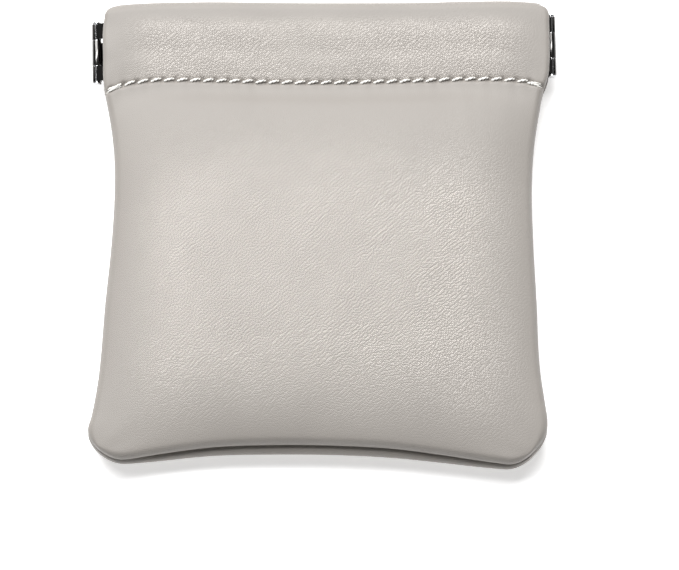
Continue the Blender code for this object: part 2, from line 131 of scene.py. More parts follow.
def through(points, at):
    """A smooth curve through a few (place, value) points, read at many places."""
    places, values = np.array(points).T
    slopes = np.gradient(values, places)
    at = np.clip(at, places[0], places[-1])
    k = np.clip(np.searchsorted(places, at) - 1, 0, len(places) - 2)
    run = places[k + 1] - places[k]
    t = (at - places[k]) / run
    start = (2 * t**3 - 3 * t**2 + 1) * values[k] + (t**3 - 2 * t**2 + t) * run * slopes[k]
    return start + (3 * t**2 - 2 * t**3) * values[k + 1] + (t**3 - t**2) * run * slopes[k + 1]


def side_reach(side, y):
    """From the middle to a sewn side, at heights along Y."""
    return through(LEFT_SIDE if side < 0 else RIGHT_SIDE, y)


# Settings


class LeatherSettings(PropertyGroup):
    thickness: FloatProperty(
        name="Thickness", description="Thickness of the leather", default=0.0009, unit="LENGTH"
    )
    front_fullness: FloatProperty(
        name="Front Fullness",
        description="How far the front swells above its turned edge",
        default=0.0053,
        unit="LENGTH",
    )
    back_fullness: FloatProperty(
        name="Back Fullness",
        description="How far the back swells before the table flattens it",
        default=0.0065,
        unit="LENGTH",
    )
    casing_end: FloatProperty(
        name="Casing Height at Ends",
        description="Height of a casing over the seam plane where the hinges leave it",
        default=0.0036,
        unit="LENGTH",
    )
    casing_rise: FloatProperty(
        name="Casing Rise",
        description="How much higher the casing swells in the middle",
        default=0.0004,
        unit="LENGTH",
    )
    colour: FloatVectorProperty(
        name="Colour",
        description="Colour of the leather",
        default=(0.292, 0.271, 0.250),
        subtype="COLOR",
    )
    lining: FloatVectorProperty(
        name="Lining Colour",
        description="Colour of the leather's cloth backing",
        default=(0.50, 0.46, 0.42),
        subtype="COLOR",
    )
    grain: FloatProperty(
        name="Grain Size",
        description="Width of one pebble of the grain",
        default=0.00034,
        unit="LENGTH",
    )
    relief: FloatProperty(
        name="Grain Relief", description="Height of the grain", default=0.00013, unit="LENGTH"
    )
    columns: IntProperty(
        name="Columns", description="Columns of each half of a panel", default=104, min=20
    )


class ThreadSettings(PropertyGroup):
    radius: FloatProperty(
        name="Thread Radius",
        description="Radius of one strand of the thread",
        default=0.00023,
        unit="LENGTH",
    )
    pitch: FloatProperty(
        name="Stitch Length",
        description="From one needle hole to the next",
        default=0.00296,
        unit="LENGTH",
    )
    slant: FloatProperty(
        name="Slant",
        description="How much higher each stitch ends on its right",
        default=0.00032,
        unit="LENGTH",
    )
    colour: FloatVectorProperty(
        name="Colour",
        description="Colour of the thread",
        default=(0.90, 0.88, 0.84),
        subtype="COLOR",
    )


class HingeSettings(PropertyGroup):
    sheet: FloatProperty(
        name="Sheet Thickness",
        description="Thickness of the leaf metal",
        default=0.0003,
        unit="LENGTH",
    )
    barrel: FloatProperty(
        name="Barrel Radius",
        description="Outer radius of the rolled knuckles",
        default=0.00106,
        unit="LENGTH",
    )
    pin: FloatProperty(
        name="Pin Radius", description="Radius of the pin", default=0.00064, unit="LENGTH"
    )
    metal: FloatVectorProperty(
        name="Leaf Colour",
        description="Colour of the leaf plating",
        default=(0.11, 0.107, 0.104),
        subtype="COLOR",
    )
    steel: FloatVectorProperty(
        name="Spring Steel Colour",
        description="Colour of the strips",
        default=(0.30, 0.31, 0.33),
        subtype="COLOR",
    )


class StageSettings(PropertyGroup):
    floor: FloatVectorProperty(
        name="Floor Colour",
        description="Colour of the floor",
        default=(0.95, 0.95, 0.95),
        subtype="COLOR",
    )
    power: FloatProperty(
        name="Softbox Power", description="Power of the softbox in watts", default=11.0
    )
    window: FloatProperty(
        name="Window Power", description="Power of the wide light beyond the mouth", default=22.0
    )
    fill: FloatProperty(
        name="Fill", description="Strength of the light from all round", default=0.15
    )
    glow: FloatProperty(
        name="Table Glow", description="Light that the lit white table gives off", default=0.48
    )
    lens: FloatProperty(
        name="Lens", description="Focal length of the camera in mm", default=480.0
    )


# Materials


class Shader:
    """A node material being wired up, with short ways to add and join its nodes."""

    def __init__(self, name):
        self.material = bpy.data.materials.new(name)
        self.material.use_nodes = True
        self.tree = self.material.node_tree
        self.surface = self.tree.nodes["Principled BSDF"]
        self.place = self.add("ShaderNodeTexCoord").outputs["Object"]

    def add(self, kind, **settings):
        node = self.tree.nodes.new(kind)
        for key, value in settings.items():
            setattr(node, key, value)
        return node

    def wire(self, value, socket):
        """Joins a socket to another one, or gives it a value that is the same all over."""
        if isinstance(value, bpy.types.NodeSocket):
            self.tree.links.new(value, socket)
        else:
            socket.default_value = value

    def put(self, node, **values):
        """Wires a node's inputs by their names, with _ for a space."""
        for key, value in values.items():
            self.wire(value, node.inputs[key.replace("_", " ")])
        return node.outputs

    def look(self, **values):
        self.put(self.surface, **values)

    def drawn_out(self, vector, scale, turn=0.0):
        """The place after a scale along each axis and then a turn about Z."""
        node = self.add("ShaderNodeMapping")
        return self.put(node, Vector=vector, Rotation=(0.0, 0.0, turn), Scale=scale)["Vector"]

    def noise(self, vector, scale, detail=2.0, roughness=0.5):
        node = self.add("ShaderNodeTexNoise")
        return self.put(node, Vector=vector, Scale=scale, Detail=detail, Roughness=roughness)

    def cells(self, vector, scale, feature="F1", randomness=1.0, dimensions="3D"):
        node = self.add("ShaderNodeTexVoronoi", voronoi_dimensions=dimensions, feature=feature)
        outputs = self.put(node, Vector=vector, Scale=scale, Randomness=randomness)
        return outputs["Distance"]

    def range(self, value, from_low, from_high, to_low, to_high):
        node = self.add("ShaderNodeMapRange", interpolation_type="SMOOTHSTEP")
        self.put(node, Value=value, From_Min=from_low, From_Max=from_high)
        return self.put(node, To_Min=to_low, To_Max=to_high)["Result"]

    def maths(self, operation, first, second):
        node = self.add("ShaderNodeMath", operation=operation)
        self.wire(first, node.inputs[0])
        self.wire(second, node.inputs[1])
        return node.outputs["Value"]

    def shifted(self, vector, colour, amount):
        """The place after a noise's colour has moved it about."""
        centred = self.add("ShaderNodeVectorMath", operation="SUBTRACT")
        self.wire(colour, centred.inputs[0])
        centred.inputs[1].default_value = (0.5, 0.5, 0.5)
        scaled = self.add("ShaderNodeVectorMath", operation="SCALE")
        self.wire(centred.outputs["Vector"], scaled.inputs[0])
        scaled.inputs["Scale"].default_value = amount
        moved = self.add("ShaderNodeVectorMath", operation="ADD")
        self.wire(vector, moved.inputs[0])
        self.wire(scaled.outputs["Vector"], moved.inputs[1])
        return moved.outputs["Vector"]

    def mixed(self, share, first, second):
        node = self.add("ShaderNodeMix", data_type="RGBA")
        return self.put(node, Factor=share, A=first, B=second)["Result"]

    def bump(self, height, distance, strength=1.0):
        node = self.add("ShaderNodeBump")
        outputs = self.put(node, Height=height, Distance=distance, Strength=strength)
        self.look(Normal=outputs["Normal"])


def tint(colour, factor):
    """A lighter or darker kind of a colour, with full alpha."""
    return (*(min(channel * factor, 1.0) for channel in colour), 1.0)


def leather_material(name, settings):
    """Semi-gloss grained leather, with rows of pebbles, creases between them and faint blotches; a
    painted sheen lightens it where the grain lies, and painted shade darkens the creases.
    """
    shader = Shader(name)
    scale = 1.0 / settings.grain
    bent = shader.shifted(shader.place, shader.noise(shader.place, 300.0)["Color"], 0.0002)
    bent = shader.shifted(bent, shader.noise(shader.place, 2400.0, 1.0)["Color"], 0.00005)
    # The pebbles lie side by side in rows that run up to the right.
    bent = shader.drawn_out(bent, (1.0, 1.0, 1.0), math.radians(48))
    slanted = shader.drawn_out(bent, (0.46, 1.15, 1.0))
    creases = shader.cells(slanted, scale, "DISTANCE_TO_EDGE", 0.85, "2D")
    pebbles = shader.cells(slanted, scale, "F1", 0.85, "2D")
    fine = shader.noise(slanted, scale * 1.9, 3.0, 0.6)["Fac"]
    plateau = shader.range(creases, 0.0, 0.25, 0.0, 0.75)
    dome = shader.range(pebbles, 0.0, 0.85, 0.55, 0.0)
    height = shader.maths("ADD", plateau, dome)
    height = shader.maths("ADD", height, shader.maths("MULTIPLY", fine, 0.3))
    # The mesh says how much of the grain is left, and it wears a little unevenly.
    uneven = shader.range(shader.noise(shader.place, 70.0)["Fac"], 0.3, 0.7, 0.90, 1.08)
    grain = shader.add("ShaderNodeAttribute", attribute_name="grain").outputs["Fac"]
    strength = shader.maths("MULTIPLY", grain, uneven)
    shader.bump(shader.maths("MULTIPLY", height, strength), settings.relief)
    blotches = shader.noise(shader.place, 34.0, 3.0, 0.55)["Fac"]
    share = shader.range(blotches, 0.35, 0.65, 0.0, 1.0)
    ground = shader.mixed(share, tint(settings.colour, 0.975), tint(settings.colour, 1.015))
    # Painted sheen: the colour is made much lighter where the grain is full.
    painted_sheen_share = shader.maths("POWER", strength, 1.8)
    painted_sheen_colour = shader.mixed(painted_sheen_share, ground, tint(settings.colour, 2.30))
    # Painted shade: the creases between the pebbles are painted darker.
    painted_crease_shade = shader.maths("MULTIPLY", shader.range(creases, 0.0, 0.20, 0.9, 0.0), strength)
    shader.look(Base_Color=shader.mixed(painted_crease_shade, painted_sheen_colour, tint(settings.colour, 0.85)))
    # Where the leather is stretched smooth it is also less glossy.
    matt = shader.range(strength, 0.0, 1.0, 0.12, 0.0)
    patchy = shader.range(blotches, 0.3, 0.7, 0.365, 0.385)
    gloss = shader.range(strength, 0.0, 1.0, 0.35, 0.85)
    shader.look(Roughness=shader.maths("ADD", patchy, matt), Specular_IOR_Level=gloss)
    return shader.material


def lining_material(name, settings):
    """Napped knitted backing of the leather."""
    shader = Shader(name)
    knit = shader.cells(shader.drawn_out(shader.place, (1.0, 1.6, 1.0)), 1900.0)
    nap = shader.noise(shader.place, 2600.0, 3.0, 0.65)["Fac"]
    loops = shader.range(knit, 0.0, 0.7, 1.0, 0.0)
    shader.bump(shader.maths("ADD", loops, nap), 0.00008, 0.8)
    worn = shader.mixed(nap, tint(settings.lining, 0.86), tint(settings.lining, 1.1))
    shader.look(Base_Color=worn, Roughness=0.9, Sheen_Weight=0.25, Sheen_Roughness=0.5)
    return shader.material


def thread_material(name, colour):
    """Waxed polyester sewing thread with fine fibres."""
    shader = Shader(name)
    along = shader.drawn_out(shader.place, (1.0, 5.0, 5.0), 0.5)
    fibres = shader.noise(along, 2600.0)["Fac"]
    shader.bump(fibres, 0.00003, 0.7)
    shader.look(Base_Color=shader.mixed(fibres, tint(colour, 0.84), tint(colour, 1.12)))
    shader.look(Roughness=shader.range(fibres, 0.3, 0.7, 0.48, 0.62), Sheen_Weight=0.15)
    return shader.material


def metal_material(name, colour, roughness, brushed):
    """Plated or bare metal with fine drawn lines along Y and faint handling marks."""
    shader = Shader(name)
    lines = shader.noise(shader.drawn_out(shader.place, (1.0, 0.06, 1.0)), 9000.0)["Fac"]
    smears = shader.noise(shader.place, 420.0, 3.0, 0.6)["Fac"]
    shader.bump(lines, 0.000004, brushed)
    shader.look(Base_Color=shader.mixed(smears, tint(colour, 0.85), tint(colour, 1.15)))
    handled = shader.range(smears, 0.3, 0.7, roughness * 0.8, roughness * 1.3)
    shader.look(Roughness=handled, Metallic=1.0)
    return shader.material


# Making pieces


def new_mesh(name, points, faces):
    mesh = bpy.data.meshes.new(name)
    mesh.from_pydata([tuple(p) for p in points], [], [tuple(f) for f in faces])
    mesh.update()
    piece = bpy.data.objects.new(name, mesh)
    bpy.context.scene.collection.objects.link(piece)
    return piece


def only(piece):
    """Makes a piece the active one and the only one selected."""
    bpy.ops.object.select_all(action="DESELECT")
    piece.select_set(True)
    bpy.context.view_layer.objects.active = piece


def apply_modifiers(piece):
    only(piece)
    for modifier in list(piece.modifiers):
        bpy.ops.object.modifier_apply(modifier=modifier.name)


def settle(piece, smooth_angle=40.0):
    """The last touches: the object at the origin with its place in its mesh, and smooth shading."""
    only(piece)
    bpy.ops.object.transform_apply(location=True, rotation=True, scale=True)
    bpy.ops.object.shade_smooth_by_angle(angle=math.radians(smooth_angle))
    return piece


def bend_with_mouth(piece):
    """Bakes the piece's place into its mesh."""
    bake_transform(piece)


# Leather


def pucker_rows(facing):
    """Places of the folds that the hem's stitching draws into the leather."""
    source = np.random.default_rng(41 if facing > 0 else 57)
    count = 26
    places = source.uniform(-0.048, 0.048, count)
    widths = source.uniform(0.0009, 0.0026, count)
    lengths = source.uniform(0.0025, 0.0085, count)
    heights = source.uniform(0.00004, 0.00013, count) * source.choice([-1, 1], count)
    leans = source.uniform(-0.25, 0.25, count)
    below = source.uniform(0, 1, count) < 0.6
    return list(zip(places, widths, lengths, heights, leans, below))


def hole_phase(x, pitch):
    """How far a place lies from the nearest needle hole, along the row."""
    share = (x + ROW_HALF) / pitch
    return (share - np.round(share)) * pitch


def hill(away, width):
    """1 at a place, and softly down to 0 on both sides."""
    return np.exp(-((away / width) ** 2))


def stitch_relief(x, y, facing, pitch):
    """Height that the hem's stitching adds: a bed, a dimple at each needle hole, and puckers."""
    away = y - through(STITCH_LINE, x)
    along = hole_phase(x, pitch)
    bed = -0.00030 * hill(away, 0.00055)
    dimple = -0.00060 * hill(along, 0.00050) * hill(away, 0.00062)
    swell = 0.00014 * np.sin(np.pi * along / pitch) ** 2 * np.exp(-np.abs(away) / 0.0016)
    total = bed + dimple + swell
    for place, width, length, height, lean, below in pucker_rows(facing):
        reach = -away if below else away
        fold = hill(x - place - lean * away, width) * np.exp(-np.abs(reach) / length)
        total = total + height * fold * smooth(-0.0002, 0.0008, reach)
    return total


def broad_relief(x, y, facing):
    """Slow unevenness of a sewn and turned leather pouch."""
    turn = 0.0 if facing > 0 else 1.7
    waves = 0.00010 * np.sin(x * 150 + y * 95 + 0.6 + turn) * np.sin(y * 120 - x * 60 + 1.1 + turn)
    return waves + 0.000025 * np.sin(x * 260 - y * 210 + 2.0 + turn)


def corner_pull(x, y, low):
    """Soft creases that run in from the bottom corners, where the turned leather is crowded."""
    total = 0.0 * x
    for side, reach in ((-1, 0.0525), (1, 0.0500)):
        across = reach - side * x
        up = y - low
        ring = np.hypot(across, up)
        turn = np.arctan2(up, across)
        ripple = np.cos(9 * turn + 0.7 * side) * 0.00004
        total = total + ripple * smooth(0.003, 0.008, ring) * (1 - smooth(0.010, 0.022, ring))
    return total


def pushed_over(x):
    """Share by which the bottom seam's allowances are pushed over: all of it but at the corners."""
    return 1 - smooth(0.030, 0.040, np.abs(x))


def stations(shares):
    """Where the lines of a sheet run, from an allowance's raw edge round the turned edge and on.

    Each station is an angle round the turned edge, and a share of the allowance or of the panel.
    """
    allowance = [(-QUARTER, 1 - k / 5) for k in range(5)]
    turned = [(angle, 0.0) for angle in np.linspace(-QUARTER, QUARTER, 13)]
    return np.array(allowance + turned + [(QUARTER, share) for share in shares])


def inset(angle, run):
    """How far a station lies in from the outline, up to the end of the turned edge."""
    rolled = TURNED_EDGE * (1 - np.cos(angle))
    allowance = run * (SEAM_ALLOWANCE - TURNED_EDGE)
    return rolled + np.where(angle < -QUARTER + TINY, allowance, 0.0)


def body_sheet(side, facing, settings, pitch, across, up):
    """Places, grain and wall of a panel's body, from the bottom's raw edge to the stitch row."""
    fullness = settings.front_fullness if facing > 0 else settings.back_fullness
    bottom_points = FRONT_BOTTOM if facing > 0 else BACK_BOTTOM
    a_angle, a_run = across.T[:, None, :]
    u_angle, u_run = up.T[:, :, None]
    in_x, in_y = inset(a_angle, a_run) + 0 * u_run, inset(u_angle, u_run) + 0 * a_run
    folded_x, folded_y = a_angle < 0, u_angle < 0
    in_y = np.where(folded_x, np.maximum(in_y, in_x), in_y)
    in_x = np.where(folded_y, np.maximum(in_x, in_y), in_x)
    on_x, on_y = a_angle > QUARTER - TINY, u_angle > QUARTER - TINY

    def spread(half):
        run = (half - np.maximum(TURNED_EDGE, in_x)) * (1 - a_run)
        return np.where(on_x, run, half - in_x)

    # Place of each station, first on a square-cornered outline and then on the rounded one
    rough_y = np.where(on_y, LOW_Y + u_run * (ROW_Y - LOW_Y), LOW_Y + in_y)
    x = spread(side_reach(side, rough_y))
    low = through(bottom_points, side * x)
    start = low + np.maximum(TURNED_EDGE, in_y)
    row = through(STITCH_LINE, side * x)
    y = np.where(on_y, start + u_run * (row - start), low + in_y)
    half = side_reach(side, y)
    x = spread(half)
    near = np.clip(1 - (half - x) / CORNER, 0, 1)
    down = np.clip(1 - (y - low) / CORNER, 0, 1)
    round_x = x - (near - near * np.sqrt(1 - down**2 / 2)) * CORNER
    round_y = y + (down - down * np.sqrt(1 - near**2 / 2)) * CORNER

    # Both shares start at the very edge, so that the fullness leaves it in one convex curve.
    length = row - low
    from_side = np.where(on_x, TURNED_EDGE + a_run * (half - TURNED_EDGE), in_x)
    a_share = np.clip(np.where(folded_x, 0.0, from_side / half), 0, 1)
    from_bottom = np.where(on_y, y - low, in_y)
    u_share = np.clip(np.where(folded_y, 0.0, from_bottom / length), 0, 1)
    crown = (1 - (1 - a_share) ** SIDE_POWER) * (1 - (1 - u_share) ** BOTTOM_POWER)
    crown = crown**CROWN_POWER * (1 - u_share**ROW_POWER)
    lift = np.minimum(np.sin(a_angle), np.sin(u_angle))
    z = HALF_GAP + TURNED_EDGE * (1 + lift) + fullness * crown
    # At the row's ends the turned edge runs on, so only what lies on top of it joins the row.
    outer = np.sin(np.clip(a_angle, 0, QUARTER))
    joining = smooth(0.93, 1.0, u_share) * (a_angle >= -TINY)
    z = z * (1 - joining) + (EDGE_Z + (ROW_Z - EDGE_Z) * outer) * joining
    # Inside, both allowances of the bottom seam are pushed over towards the front.
    on_allowance = np.where(u_angle < -QUARTER + TINY, u_run, 0.0)
    z = z + facing * 0.0018 * smooth(0.0, 1.0, on_allowance) * pushed_over(x)
    loose = smooth(0.0, 0.25, a_share) * smooth(0.0, 0.12, u_share)
    loose = loose * (1 - smooth(0.80, 1.0, u_share))
    z = z + broad_relief(side * round_x, round_y, facing) * loose
    crowded = smooth(0.0, 0.03, a_share) * smooth(0.0, 0.03, u_share)
    z = z + corner_pull(side * round_x, round_y, low) * crowded
    sewn = outer * smooth(0.5, 0.8, u_share)
    z = z + stitch_relief(side * round_x, round_y, facing, pitch) * sewn
    if facing < 0:
        z = np.minimum(z, SEAM_Z)  # the table flattens the back
    points = np.stack([round_x, round_y, z], axis=-1)
    points[(u_angle < -TINY) & (a_angle < -TINY)] = np.nan
    # The grain is drawn smooth where the leather is stretched over an edge.
    # The same share places the painted sheen and the painted shade in the creases.
    grain = smooth(-0.04, 0.38, a_share) * smooth(-0.04, 0.30, u_share)
    grain = grain * (1 - smooth(0.62, 0.95, u_share))
    skived = smooth(0.90, 0.99, u_share) * (1 - smooth(0.001, 0.004, half - round_x))
    return points, grain, 1 - 0.55 * skived


def casing_sheet(side, facing, settings, pitch, across):
    """Places, grain and wall of a casing, which has no seam allowance at its ends.

    It runs up from the stitches, over the strip, round the fold and back down inside.
    """
    rise, flat, fold, inner = (np.linspace(0, 1, count)[1:] for count in (28, 24, 21, 13))
    share = np.concatenate([rise**1.2, flat, fold, inner])[:, None]
    part = np.repeat(range(4), [len(rise), len(flat), len(fold), len(inner)])[:, None]
    rises, is_flat, folds, is_inner = (part == number for number in range(4))
    keep = across[:, 0] >= -TINY
    angle, run = across[keep].T[:, None, :]
    on_top = angle > QUARTER - TINY
    in_x = CASING_EDGE * (1 - np.cos(angle))
    y = FRAME_Y + 0 * (share + run)
    for _ in range(4):
        half = side_reach(side, y) - np.where(is_inner, 0.0014, 0.0)
        x = np.where(on_top, (half - CASING_EDGE) * (1 - run), half - in_x)
        row, top = through(STITCH_LINE, side * x), through(TOP_LINE, side * x)
        foot, head = row + 0.0058, top - 0.0023
        up = row + 0.0058 * share
        over = foot + (head - foot) * share
        round_fold = head + 0.0023 * np.sin(np.pi * share)
        down = head + (row + 0.0015 - head) * share
        y = np.select([rises, is_flat, folds], [up, over, round_fold], down)
    from_end = half - x
    height = settings.casing_end + settings.casing_rise * (1 - np.exp(-from_end / 0.0042))
    height = height + 0.00014 * np.sin(side * x * 210 + 0.4 + (0 if facing > 0 else 2))
    bulge = 0.00036 * np.sin(np.pi * share) ** 2 * (1 - np.exp(-from_end / 0.005))
    up = ROW_Z + (height - ROW_Z) * np.sin(QUARTER * share)
    round_fold = HALF_GAP + (height - HALF_GAP) / 2 * (1 + np.cos(np.pi * share))
    z = np.select([rises, is_flat, folds], [up, height + bulge, round_fold], HALF_GAP)
    outside = np.select([rises | is_flat, folds], [1.0, np.cos(QUARTER * share) ** 2], 0.0)
    # Its turned edge starts as deep as the body's.
    deeper = np.where(rises, 1 - smooth(0.0, 0.6, share), 0.0)
    drop = CASING_EDGE + (ROW_Z - EDGE_Z - CASING_EDGE) * deeper
    z = z - drop * (1 - np.sin(angle)) * outside
    z = z + stitch_relief(side * x, y, facing, pitch) * outside * np.sin(angle)
    wavy = smooth(0.038, 0.043, y) * (1 - smooth(0.048, 0.052, y)) * outside
    z = z + 0.00012 * np.sin(side * x * 330 + y * 420) * wavy

    shape = (len(share), len(across))
    points, grain, wall = np.full((*shape, 3), np.nan), np.zeros(shape), np.ones(shape)
    points[:, keep] = np.stack([x, y, z], axis=-1)
    shown = smooth(0.0015, 0.0130, from_end) * (1 - smooth(0.0480, 0.0518, y))
    # This share also places the casing's painted sheen and the painted shade in its creases.
    grain[:, keep] = shown * (rises | is_flat) * 0.72
    # The leather is skived thin at the casing's ends.
    wall[:, keep] = 0.32 + 0.68 * smooth(0.0012, 0.0045, from_end)
    return points, grain, wall


def leather_half(name, side, facing, settings, pitch):
    """One half of a panel: an open sheet on the leather's outer surface, then thickened inwards.

    Its columns run from the raw edge of the seam allowance round the turned edge to the middle. Its
    rows run from the bottom's raw edge over the body and the casing, to the hem's turned-in end.
    """
    across = stations(np.linspace(0, 1, settings.columns + 1)[1:] ** 1.08)
    wide, close = np.linspace(0, 0.94, 112)[1:] ** 1.05, np.linspace(0.945, 1.0, 26)
    up = stations(np.concatenate([wide, close]))
    body = body_sheet(side, facing, settings, pitch, across, up)
    casing = casing_sheet(side, facing, settings, pitch, across)
    grid, grain, wall = (np.concatenate(both) for both in zip(body, casing))
    return sheet_piece(name, grid, 0.10 + 0.90 * grain, wall, side, facing, settings)


def sheet_piece(name, grid, grain, wall, side, facing, settings):
    """Turns a grid of places, with gaps where it is NaN, into a thickened half of a panel."""
    there = ~np.isnan(grid[..., 0])
    number = np.full(there.shape, -1)
    number[there] = np.arange(there.sum())
    points = grid[there]
    points[:, 0] *= side
    points[:, 2] = SEAM_Z + facing * points[:, 2]
    corners = number[:-1, :-1], number[:-1, 1:], number[1:, 1:], number[1:, :-1]
    quads = np.stack(corners, axis=-1).reshape(-1, 4)
    quads = quads[(quads >= 0).all(axis=1)]
    if side * facing > 0:
        quads = quads[:, ::-1]
    piece = new_mesh(name, points, quads)
    for key, values in (("grain", grain), ("wall", wall)):
        attribute = piece.data.attributes.new(key, "FLOAT", "POINT")
        attribute.data.foreach_set("value", values[there])
    bm = bmesh.new()
    bm.from_mesh(piece.data)
    bmesh.ops.remove_doubles(bm, verts=bm.verts, dist=2e-6)
    bmesh.ops.dissolve_degenerate(bm, edges=bm.edges, dist=1e-6)
    bm.to_mesh(piece.data)
    bm.free()
    skived = piece.vertex_groups.new(name="skived")
    for vert, share in zip(piece.data.vertices, piece.data.attributes["wall"].data):
        skived.add([vert.index], share.value, "REPLACE")
    leather = piece.modifiers.new("leather", "SOLIDIFY")
    leather.thickness = settings.thickness
    leather.offset = -1.0
    leather.use_even_offset = False
    leather.material_offset = 1
    leather.material_offset_rim = 1
    leather.vertex_group = "skived"
    return piece


def make_leather(facing):
    """Both halves of one panel, which meet in the middle."""
    settings = bpy.context.scene.pouch_leather
    pitch = bpy.context.scene.pouch_thread.pitch
    word = "front" if facing > 0 else "back"
    node, slot = f"{word}_panel", f"{word}_leather"
    outside = leather_material(f"{word}_grained_leather", settings)
    inside = lining_material(f"{word}_leather_backing", settings)
    for side, hand in ((-1, "left"), (1, "right")):
        piece = leather_half(f"{word}_leather_{hand}", side, facing, settings, pitch)
        piece.data.materials.append(outside)
        piece.data.materials.append(inside)
        apply_modifiers(piece)
        piece.vertex_groups.clear()
        settle(piece, 50.0)
        bend_with_mouth(piece)
        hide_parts(node)


class POUCH_OT_front_leather(Operator):
    """Sew the front panel: a full, grained leather sheet with its turned edges and its casing."""

    bl_idname = "pouch.front_leather"
    bl_label = "Front Leather"

    def execute(self, context):
        make_leather(1)
        return {"FINISHED"}


class POUCH_OT_back_leather(Operator):
    """Sew the back panel, which lies flat where it rests."""

    bl_idname = "pouch.back_leather"
    bl_label = "Back Leather"

    def execute(self, context):
        make_leather(-1)
        return {"FINISHED"}


# Threads


def twisted_strand(path, radius, turns_per_metre, taper=0.0):
    """Points and faces of a two-ply thread along a path, closed at both ends."""
    path = np.array(path)
    ahead = np.gradient(path, axis=0)
    ahead /= np.linalg.norm(ahead, axis=1)[:, None]
    upright = np.array([0.0, 0.0, 1.0])
    sideways = np.cross(ahead, upright)
    sideways /= np.maximum(np.linalg.norm(sideways, axis=1)[:, None], 1e-9)
    over = np.cross(sideways, ahead)
    run = np.concatenate([[0.0], np.cumsum(np.linalg.norm(np.diff(path, axis=0), axis=1))])
    angles = np.linspace(0, 2 * np.pi, 12, endpoint=False)
    # The two plies make the thread's section a little longer one way than the other.
    lobed = radius * (1.16 + 0.28 * np.cos(2 * angles))
    rings = []
    for k, centre in enumerate(path):
        turned = angles + 2 * np.pi * turns_per_metre * run[k]
        size = 1 - taper * abs(2 * run[k] / run[-1] - 1) ** 4
        ring = np.outer(np.cos(turned), sideways[k]) + np.outer(np.sin(turned), over[k])
        rings.append(centre + ring * lobed[:, None] * size)
    count = len(angles)
    points = np.concatenate([path[:1]] + rings + [path[-1:]])
    last, end = 1 + (len(path) - 1) * count, len(points) - 1
    faces = []
    for j in range(count):
        after = (j + 1) % count
        for low in range(1, last, count):
            high = low + count
            faces.append((low + j, low + after, high + after, high + j))
        faces.append((0, 1 + after, 1 + j))
        faces.append((end, last + j, last + after))
    return points, faces


def outwards(piece, merged=0.0):
    """Turns the faces of closed shells outwards, once points closer than merged are made one."""
    bm = bmesh.new()
    bm.from_mesh(piece.data)
    if merged:
        bmesh.ops.remove_doubles(bm, verts=bm.verts, dist=merged)
    bmesh.ops.recalc_face_normals(bm, faces=bm.faces)
    bm.to_mesh(piece.data)
    bm.free()


def gathered(name, strands):
    """One piece from several closed strands."""
    points, faces, count = [], [], 0
    for strand_points, strand_faces in strands:
        points.append(strand_points)
        faces += [tuple(v + count for v in face) for face in strand_faces]
        count += len(strand_points)
    piece = new_mesh(name, np.concatenate(points), faces)
    outwards(piece)
    return piece


def stitch_path(start, end, facing, slant):
    """A stitch that comes up at one needle hole, lies on the leather and goes down at the next."""
    shares = np.linspace(0, 1, 11)
    x = start + (end - start) * (0.09 + 0.80 * shares)
    y = through(STITCH_LINE, x) + slant * (2 * shares - 1)
    arch = np.sin(np.pi * shares) ** 0.55
    z = ROW_Z - 0.00062 + 0.00095 * arch
    return np.stack([x, y, SEAM_Z + facing * z], axis=1)


def end_tack(side, facing, radius):
    """The last two stitches, which wrap round the casing's end and lie on each other."""
    strands = []
    reach = side_reach(side, 0.0340) - 0.0003
    for lean, lift in ((0.0, 0.0), (0.0007, 0.0001)):
        shares = np.linspace(0, 1, 12)
        x = side * (reach - 0.0036 * (1 - shares) + 0.0001 * np.sin(np.pi * shares))
        y = through(STITCH_LINE, x) + lean * shares - 0.0003
        z = ROW_Z + 0.0002 + lift - 0.0016 * shares**5 - 0.0007 * (1 - shares) ** 6
        path = np.stack([x, y, SEAM_Z + facing * z], axis=1)
        strands.append(twisted_strand(path, radius, 700.0, 0.3))
    return strands


def make_hem_stitches(facing):
    """The stitch row of one casing, in two halves."""
    thread = bpy.context.scene.pouch_thread
    word = "front" if facing > 0 else "back"
    look = thread_material(f"{word}_hem_thread", thread.colour)
    count = int(ROW_HALF * 2 / thread.pitch)
    holes = -ROW_HALF + thread.pitch * np.arange(count + 1)
    for side, hand in ((-1, "left"), (1, "right")):
        strands = []
        for start, end in zip(holes[:-1], holes[1:]):
            middle = (start + end) / 2
            if middle * side <= 0:
                continue
            path = stitch_path(start, end, facing, thread.slant)
            strands.append(twisted_strand(path, thread.radius, 620.0, 0.55))
        strands += end_tack(side, facing, thread.radius * 0.85)
        piece = gathered(f"{word}_hem_stitches_{hand}", strands)
        piece.data.materials.append(look)
        settle(piece, 60.0)
        bend_with_mouth(piece)
        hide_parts(f"{word}_hem_thread")


class POUCH_OT_hem_stitches(Operator):
    """Stitch both casings with slanted two-ply stitches and a tack at each end."""

    bl_idname = "pouch.hem_stitches"
    bl_label = "Hem Stitches"

    def execute(self, context):
        make_hem_stitches(1)
        make_hem_stitches(-1)
        return {"FINISHED"}


